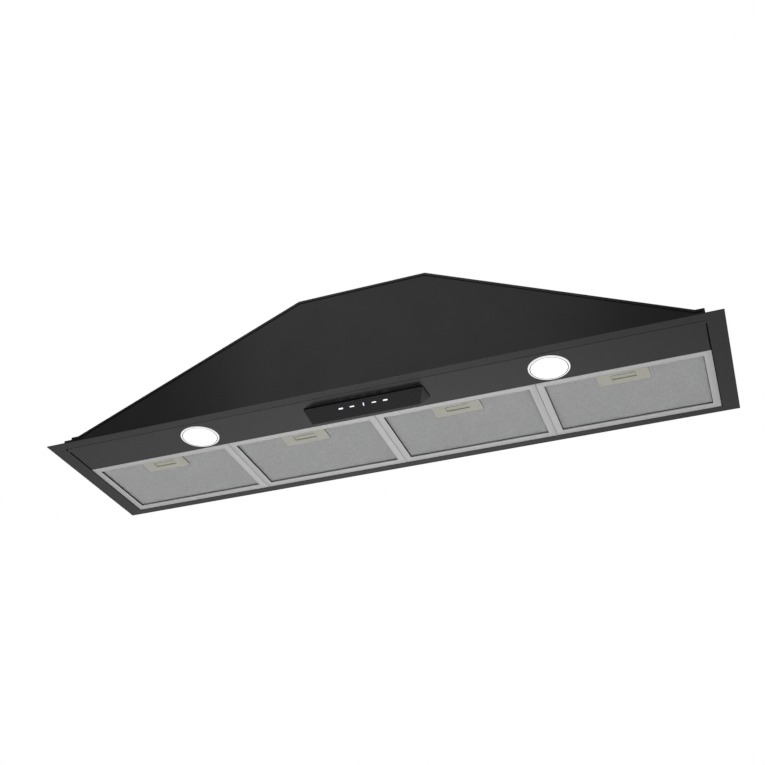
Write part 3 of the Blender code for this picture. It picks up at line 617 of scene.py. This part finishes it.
def rim_sections():
    """The channel's section, and what is left of it under and over the latch's slot."""
    lower = [(0, 0, OUTER_BEND), (RIM, 0, HEM_BEND), (RIM, HEM, HEM_BEND), (WALL, HEM, 0)]
    upper = [
        (WALL, FILTER_HEIGHT - WALL, 0),
        (RIM, FILTER_HEIGHT - WALL, TOP_BEND),
        (RIM, FILTER_HEIGHT, TOP_BEND),
        (0, FILTER_HEIGHT, OUTER_BEND),
    ]
    slot_floor = [(WALL, SLOT[0], 0), (0, SLOT[0], 0)]
    slot_roof = [(0, SLOT[1], 0), (WALL, SLOT[1], 0)]
    return rounded(lower + upper), rounded(lower + slot_floor), rounded(slot_roof + upper)


def side_rims(shape, channel):
    """The two side rims, with their fold line, and their hem's inner edge painted near black as shade."""
    groove = [(GROOVE + GROOVE_HALF, 0), (GROOVE, GROOVE_DEEP), (GROOVE - GROOVE_HALF, 0)]
    seamed = channel + [Vector(point) for point in groove]
    for first, second, run in ((1, 2, 1), (3, 0, -1)):
        ends = rim_ring(seamed, first, (0, run)), rim_ring(seamed, second, (0, -run))
        for face, (inset, height) in zip(loft(shape, *ends, look=SIDES), seamed):
            if inset > RIM - OUTER_BEND and 0 < height < HEM:
                # the hem's inner edge takes the painted shade of the gap between rim and mesh
                face.material_index = PAINTED_SHADE


def shade_strip(shape):
    """A thin near-black strip round the mesh, inside the rims: painted shade where the rims shade the
    mesh.
    """
    outer, inner = RIM - SHADE_STRIP_LAP, RIM + SHADE_STRIP_WIDE
    section = [(outer, HEM - SHADE_STRIP_THICK), (inner, HEM - SHADE_STRIP_THICK), (inner, HEM), (outer, HEM)]
    for corner, along in enumerate(((1, 0), (0, 1), (-1, 0), (0, -1))):
        back = (-along[0], -along[1])
        ends = rim_ring(section, corner, along), rim_ring(section, (corner + 1) % 4, back)
        # near black, as painted shade
        loft(shape, *ends, look=PAINTED_SHADE)


def filter_frame():
    """Four hemmed channels, mitred at the corners. The front one is slotted for the latch."""
    channel, under_slot, over_slot = rim_sections()
    shape = bmesh.new()
    loft(shape, rim_ring(channel, 0, (1, 0)), at_x(channel, -SLOT_HALF))
    loft(shape, at_x(channel, SLOT_HALF), rim_ring(channel, 1, (-1, 0)))
    for section in (under_slot, over_slot):
        loft(shape, at_x(section, -SLOT_HALF), at_x(section, SLOT_HALF))
    loft(shape, rim_ring(channel, 2, (-1, 0)), rim_ring(channel, 3, (1, 0)))
    side_rims(shape, channel)
    shade_strip(shape)
    for x in (-FILTER_WIDTH / 3, FILTER_WIDTH / 3):
        left, right = x - TAB_HALF, x + TAB_HALF
        tab = [
            (left, TAB_Y[0], 0),
            (right, TAB_Y[0], 0),
            (right, TAB_Y[1], TAB_CORNER),
            (left, TAB_Y[1], TAB_CORNER),
        ]
        plate(shape, rounded(tab), *TAB_Z, UNMOVED)
    return shape


def strand_spans(y):
    """The runs of x that one row of strands covers, clear of the latch case."""
    edge = FILTER_WIDTH / 2 - RIM + UNDER_RIM
    notch = NOTCH_X + NOTCH_GAP
    if y < NOTCH_Y + STRAND_ROW:
        return [(-edge, -notch), (notch, edge)]
    return [(-edge, edge)]


def filter_strands():
    """Expanded metal: rows of zigzag strands that meet at every bend."""
    shape = bmesh.new()
    first = RIM - UNDER_RIM - FILTER_DEPTH
    rows = int((FILTER_DEPTH - RIM - RIM_REAR + 2 * UNDER_RIM) / STRAND_ROW)
    for row in range(rows):
        y = first + (row + 0.5) * STRAND_ROW
        for start, end in strand_spans(y):
            low, high = math.ceil(start / STRAND_LINK), math.floor(end / STRAND_LINK)
            strand(shape, y, range(low, high + 1), row)
    return shape


def strand(shape, y, bends, row):
    """One zigzag strand of triangular section, its height a little uneven."""
    before = None
    for bend in bends:
        side = 1 if (bend + row) % 2 else -1
        x = bend * STRAND_LINK
        middle = y + side * (STRAND_ROW / 2 - STRAND_TOUCH)
        wave = STRAND_WAVE * noise.noise((STRAND_WAVE_RATE * x, STRAND_WAVE_RATE * y, 0.0))
        z = STRAND_Z + wave + STRAND_TOUCH * side
        section = [
            shape.verts.new((x, middle - STRAND_SIZE / 2, z)),
            shape.verts.new((x, middle + STRAND_SIZE / 2, z + STRAND_TILT)),
            shape.verts.new((x, middle, z + STRAND_TALL)),
        ]
        if before:
            for index in range(3):
                after = (index + 1) % 3
                shape.faces.new((before[index], before[after], section[after], section[index]))
        else:
            shape.faces.new(section)
        before = section
    shape.faces.new(before)


def spread(start, end, count):
    """Even steps from start, without the end."""
    return [start + (end - start) * index / count for index in range(count)]


def filter_pad():
    """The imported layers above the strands: a notched slab with a crumpled lower face."""
    inset = WALL + PAD_GAP
    edge, front, rear = FILTER_WIDTH / 2 - inset, inset - FILTER_DEPTH, -inset
    beside, across = PAD_COLUMNS
    xs = spread(-edge, -NOTCH_X, beside) + spread(-NOTCH_X, NOTCH_X, across)
    xs += spread(NOTCH_X, edge, beside) + [edge]
    ys = spread(front, NOTCH_Y, PAD_ROWS[0]) + spread(NOTCH_Y, rear, PAD_ROWS[1]) + [rear]
    shape = bmesh.new()
    points = {}
    for i, x in enumerate(xs):
        for j, y in enumerate(ys):
            relief = noise.noise((PAD_RELIEF_RATE * x, PAD_RELIEF_RATE * y, PAD_RELIEF_SEED))
            points[i, j] = shape.verts.new((x, y, PAD_LOW + PAD_RELIEF * relief))
    cells = []
    for i in range(len(xs) - 1):
        for j in range(len(ys) - 1):
            middle_x, middle_y = (xs[i] + xs[i + 1]) / 2, (ys[j] + ys[j + 1]) / 2
            if abs(middle_x) < NOTCH_X and middle_y < NOTCH_Y:
                continue
            corners = (points[i, j], points[i + 1, j], points[i + 1, j + 1], points[i, j + 1])
            cells.append(shape.faces.new(corners))
    bmesh.ops.delete(shape, geom=[v for v in shape.verts if not v.link_faces], context="VERTS")
    top = bmesh.ops.extrude_face_region(shape, geom=cells, use_keep_orig=True)["geom"]
    for vert in top:
        if isinstance(vert, bmesh.types.BMVert):
            vert.co.z = PAD_TOP
    return shape


def filters(looks):
    """The same three meshes on each of the four filters."""
    side_look = brushed("rim_sides", "y", 0.60, 0.42)
    # near-black painted shade for the rims' inner edges and the strip round the mesh
    shade_look = brushed("painted_edge_shade", "y", 0.05, 0.6)
    rims = finished("filter_rims", filter_frame(), [looks["filter_aluminium"], side_look, shade_look])
    strands = finished("filter_strands", filter_strands(), [looks["filter_mesh"]])
    pad = finished("filter_pad", filter_pad(), [filter_pad_metal()])
    for index in range(FILTER_COUNT):
        place = ((index - (FILTER_COUNT - 1) / 2) * FILTER_PITCH, FILTER_HINGE_Y, UNDERSIDE)
        body = f"filter_{index + 1}"
        piece(f"{body}_rims", rims, body, (f"{body}_frame",), place)
        piece(f"{body}_strands", strands, body, (f"{body}_mesh",), place)
        piece(f"{body}_pad", pad, body, (f"{body}_mesh",), place)


# ---------------------------------------------------------------- lamps and pod


def lamps(looks):
    """Each lamp's rounded bezel, which glows as a painted light, its slightly domed lens, and the thin
    grey ring between them, which is painted shade for the gap.
    """
    low, lip, face = PANEL_FACE - BEZEL_THICK, PANEL_FACE - LENS_SEAT, PANEL_FACE
    outer, inner = LENS_R + BEZEL_WIDE_LIP, LENS_R - BEZEL_SEAT
    bezel = rounded(
        [
            (outer, low, BEZEL_INNER_ROUND),
            (BEZEL_R, low, BEZEL_OUTER_ROUND),
            (BEZEL_R, face, 0),
            (inner, face, 0),
            (inner, lip, 0),
            (outer, lip, 0),
        ]
    )
    edge, crown = LENS_R + LENS_FIT, lip - DOME_HIGH
    dome = [(0.0, crown)]
    dome += [(edge * share, crown + DOME_FALL * share**4) for share in DOME_SHARES]
    dome += [(edge, lip - LENS_FIT), (0.0, lip - LENS_FIT)]
    near, far = edge + SHADE_RING[0], edge + SHADE_RING[1]
    # a grey ring of painted shade in the gap between lens and bezel
    shade_ring = [(near, lip - SHADE_RING_THICK), (far, lip - SHADE_RING_THICK), (far, lip), (near, lip)]
    for side, x in (("left", -LAMP_X), ("right", LAMP_X)):
        place = Matrix.Translation((x, LAMP_Y, 0))
        for name, profile, look, slot, stands_for in (
            # the bezel glows: painted light on a part that is no lamp
            ("ring", bezel, "lamp_bezel_glow", "lamp_white", (f"{side}_lamp_bezel",)),
            ("dome", dome, "lamp_lens", "lamp_lens", (f"{side}_lamp_lens",)),
            ("shade_ring", shade_ring, "lamp_shade_ring", "lamp_white", ()),
        ):
            shape = bmesh.new()
            turn_about(shape, profile, LAMP_SEGMENTS, place)
            mesh = finished(f"{side}_lamp_{name}", shape, [looks[look]])
            piece(f"{side}_lamp_{name}", mesh, "hood", stands_for)


def ledge_seals(look):
    """A strip of tape over each slit, so that no light shows through it."""
    inner, outer = SEAL_X
    front, rear = SEAL_Y
    for side, sign in (("left", -1), ("right", 1)):
        corners = ((inner, front), (outer, front), (outer, rear), (inner, rear))
        outline = rounded([(sign * x, y, SEAL_CORNER) for x, y in corners])
        shape = bmesh.new()
        plate(shape, outline, *SEAL_Z, UNMOVED)
        name = f"{side}_ledge_seal"
        piece(name, finished(name, shape, [look]), "hood")


def mirrored_x(point):
    return Vector((-point.x, point.y, point.z))


def pod_plane(first, second, third):
    """A plane through three of the pod's corners: its normal, away from the middle, and its distance."""
    normal = (second - first).cross(third - first).normalized()
    middle = (POD_FRONT + POD_REAR) / 2
    middle.x = 0
    if normal.dot(first - middle) < 0:
        normal = -normal
    return normal, normal.dot(first)


def where_planes_meet(planes):
    """The point common to three planes, each a normal and a distance."""
    normals = numpy.array([normal for normal, distance in planes])
    distances = numpy.array([distance for normal, distance in planes])
    return Vector(numpy.linalg.solve(normals, distances))


def pod_shell():
    """A wedge with soft edges, on a base set in a little so that a dark line parts it from the panel."""
    ceiling = PANEL_FACE - POD_RECESS
    face = pod_plane(POD_FRONT, POD_RIDGE, mirrored_x(POD_RIDGE))
    back = pod_plane(POD_REAR, POD_RIDGE, mirrored_x(POD_RIDGE))
    end = pod_plane(POD_FRONT, POD_RIDGE, POD_REAR)
    top = (Vector((0, 0, 1)), ceiling)
    shape = bmesh.new()
    for touched, held, radius in (
        ((face, end), (top,), POD_EDGE_R),
        ((back, end), (top,), POD_EDGE_R),
        ((face, back, end), (), POD_NOSE_R),
    ):
        # A ball's centre is a radius inside the planes that the ball touches.
        inside = [(normal, distance - radius) for normal, distance in touched]
        centre = where_planes_meet([*inside, *held])
        for middle in (mirrored_x(centre), centre):
            ball(shape, middle, radius, ceiling)
    bmesh.ops.convex_hull(shape, input=shape.verts)
    bmesh.ops.delete(shape, geom=[v for v in shape.verts if not v.link_faces], context="VERTS")
    inset_x, inset_y = POD_BASE_INSET
    front = (POD_FRONT.x - inset_x, POD_FRONT.y + inset_y)
    rear = (POD_REAR.x - inset_x, POD_REAR.y - inset_y)
    corners = (front, rear, (-rear[0], rear[1]), (-front[0], front[1]))
    base = rounded([(x, y, POD_BASE_CORNER) for x, y in corners])
    plate(shape, base, ceiling - POD_LAP, PANEL_FACE, UNMOVED)
    return shape


def ball(shape, centre, radius, ceiling, rings=12, spokes=24):
    """The points of a ball that lie under a ceiling."""
    for ring in range(rings + 1):
        tilt = math.pi * ring / rings - math.pi / 2
        flat, rise = radius * math.cos(tilt), radius * math.sin(tilt)
        for spoke in range(spokes):
            turn = math.tau * spoke / spokes
            point = centre + Vector((flat * math.cos(turn), flat * math.sin(turn), rise))
            if point.z <= ceiling + ROUND_OFF:
                shape.verts.new(point)


def pod_slope():
    """From the pod's front edge down its face to the ridge."""
    return Vector((0, POD_RIDGE.y - POD_FRONT.y, POD_RIDGE.z - POD_FRONT.z))


def pod_face_place():
    """The place of the pod's face: u along X, v down the slope and w into the pod."""
    down = pod_slope().normalized()
    across = Vector((1, 0, 0))
    turned = Matrix((across, down, across.cross(down))).transposed().to_4x4()
    return Matrix.Translation((0, POD_FRONT.y, POD_FRONT.z)) @ turned


def mark(shape, x, size, place):
    """One lit mark on the glass."""
    width, height = size[0] / 2, size[1] / 2
    soft = min(width, height) * MARK_CORNER
    left, right = x - width, x + width
    low, high = KEY_V - height, KEY_V + height
    outline = rounded([(left, low, soft), (right, low, soft), (right, high, soft), (left, high, soft)])
    plate(shape, outline, -GLASS_PROUD - MARK_PROUD, MARK_SUNK, place)


def glass_outline():
    """The pod's face less a margin: its ends lean in towards the ridge."""
    slope = pod_slope().length
    lean = (POD_FRONT.x - POD_RIDGE.x) / slope
    top, low = GLASS_MARGIN, slope - 2 * GLASS_MARGIN
    wide = POD_FRONT.x - 2 * GLASS_MARGIN
    narrow = wide - lean * (low - top)
    upper, lower = GLASS_CORNERS
    return rounded([(-wide, top, upper), (wide, top, upper), (narrow, low, lower), (-narrow, low, lower)])


def control_pod(looks):
    """The housing, its glass face and the lit marks on it."""
    place = pod_face_place()
    glass = bmesh.new()
    plate(glass, glass_outline(), -GLASS_PROUD, GLASS_SUNK, place)
    keys = bmesh.new()
    for x, size in zip(KEY_XS, KEY_SIZES):
        mark(keys, x, size, place)
    digit = bmesh.new()
    mark(digit, DIGIT_X, DIGIT_SIZE, place)
    for name, shape, look, slot, stands_for in (
        ("pod_shell", pod_shell(), "black_plastic", "black_plastic", ("control_housing",)),
        ("pod_glass", glass, "black_glass", "black_glass", ("control_glass",)),
        ("key_marks", keys, "key_mark", "key_mark", ()),
        ("lit_digit", digit, "digit_blue", "key_mark", ()),
    ):
        piece(name, finished(name, shape, [looks[look]]), "hood", stands_for)


# ---------------------------------------------------------------- studio


def camera():
    data = bpy.data.cameras.new("camera")
    data.lens = CAMERA_LENS
    data.sensor_width = CAMERA_SENSOR
    view = bpy.data.objects.new("camera", data)
    view.location = CAMERA_PLACE
    view.rotation_euler = (math.pi / 2 + CAMERA_PITCH, 0.0, CAMERA_YAW)
    bpy.context.scene.collection.objects.link(view)
    bpy.context.scene.camera = view


def floor():
    shape = bmesh.new()
    bmesh.ops.create_grid(shape, x_segments=FLOOR_CELLS, y_segments=FLOOR_CELLS, size=FLOOR_HALF)
    bmesh.ops.translate(shape, vec=(0, 0, FLOOR_Z), verts=shape.verts)
    mesh = bpy.data.meshes.new("floor")
    shape.to_mesh(mesh)
    shape.free()
    mesh.materials.append(studio_floor())
    made = bpy.data.objects.new("floor", mesh)
    bpy.context.scene.collection.objects.link(made)


def room():
    """A plain white room: white to the eye, softer as a light."""
    world = bpy.data.worlds.new("room")
    bpy.context.scene.world = world
    world.use_nodes = True
    nodes, links = world.node_tree.nodes, world.node_tree.links
    background = nodes["Background"]
    background.inputs["Color"].default_value = (1.0, 1.0, 1.0, 1.0)
    seen = nodes.new("ShaderNodeLightPath").outputs["Is Camera Ray"]
    strength = nodes.new("ShaderNodeMapRange")
    links.new(seen, strength.inputs["Value"])
    strength.inputs["To Min"].default_value = ROOM_LIGHT
    strength.inputs["To Max"].default_value = 1.0
    links.new(strength.outputs["Result"], background.inputs["Strength"])


def softbox(name, place, target, width, height, power):
    """A rectangular light that faces a target and is not seen itself."""
    light = bpy.data.lights.new(name, "AREA")
    light.shape = "RECTANGLE"
    light.size = width
    light.size_y = height
    light.energy = power
    made = bpy.data.objects.new(name, light)
    made.location = place
    towards = Vector(target) - Vector(place)
    made.rotation_euler = towards.to_track_quat("-Z", "Y").to_euler()
    made.visible_camera = False
    bpy.context.scene.collection.objects.link(made)


def studio():
    camera()
    floor()
    room()
    for light in LIGHTS:
        softbox(*light)
    bpy.context.scene.view_settings.view_transform = "Standard"


def finishes():
    """The look of each slot in the record, and of the pieces that only this script adds."""
    return {
        "black_paint": black_paint(),
        "black_plastic": black_plastic(),
        "black_glass": black_glass(),
        "filter_aluminium": brushed("filter_aluminium", "x", 0.60, 0.42),
        "filter_mesh": filter_mesh_metal(),
        "latch_steel": latch_metal(),
        "galvanised": galvanised(),
        "bright_steel": bright_steel(),
        "lamp_white": lamp_white(),
        # grey painted shade for the gap round the lens
        "lamp_shade_ring": lamp_white("lamp_shade_ring", 0.45),
        # painted light: the bezel glows though it is no lamp
        "lamp_bezel_glow": glowing("lamp_bezel_glow", (0.92, 0.92, 0.92), 0.55, 900.0, 0.02),
        "lamp_lens": glowing("lamp_lens", (1.0, 1.0, 1.0), 1.0, 300.0, 0.02),
        "fan_plastic": fan_plastic(),
        "circuit_green": circuit_green(),
        "key_mark": glowing("key_mark", (0.9, 0.92, 1.0), 1.0, 900.0, 0.04),
        "digit_blue": glowing("digit_blue", (0.72, 0.75, 1.0), 1.0, 900.0, 0.04),
    }


def main():
    looks = finishes()
    paint_cad_nodes(looks)
    frame["nodes"]["light_panel"].data.materials[0] = black_paint("panel_paint", 0.20)
    soften(BLACK_SHEETS, SHEET_EDGE)
    for number in range(1, FILTER_COUNT + 1):
        soften((f"filter_{number}_latch_case", f"filter_{number}_latch"), LATCH_EDGE)
    filters(looks)
    lamps(looks)
    ledge_seals(looks["black_plastic"])
    control_pod(looks)
    studio()


main()
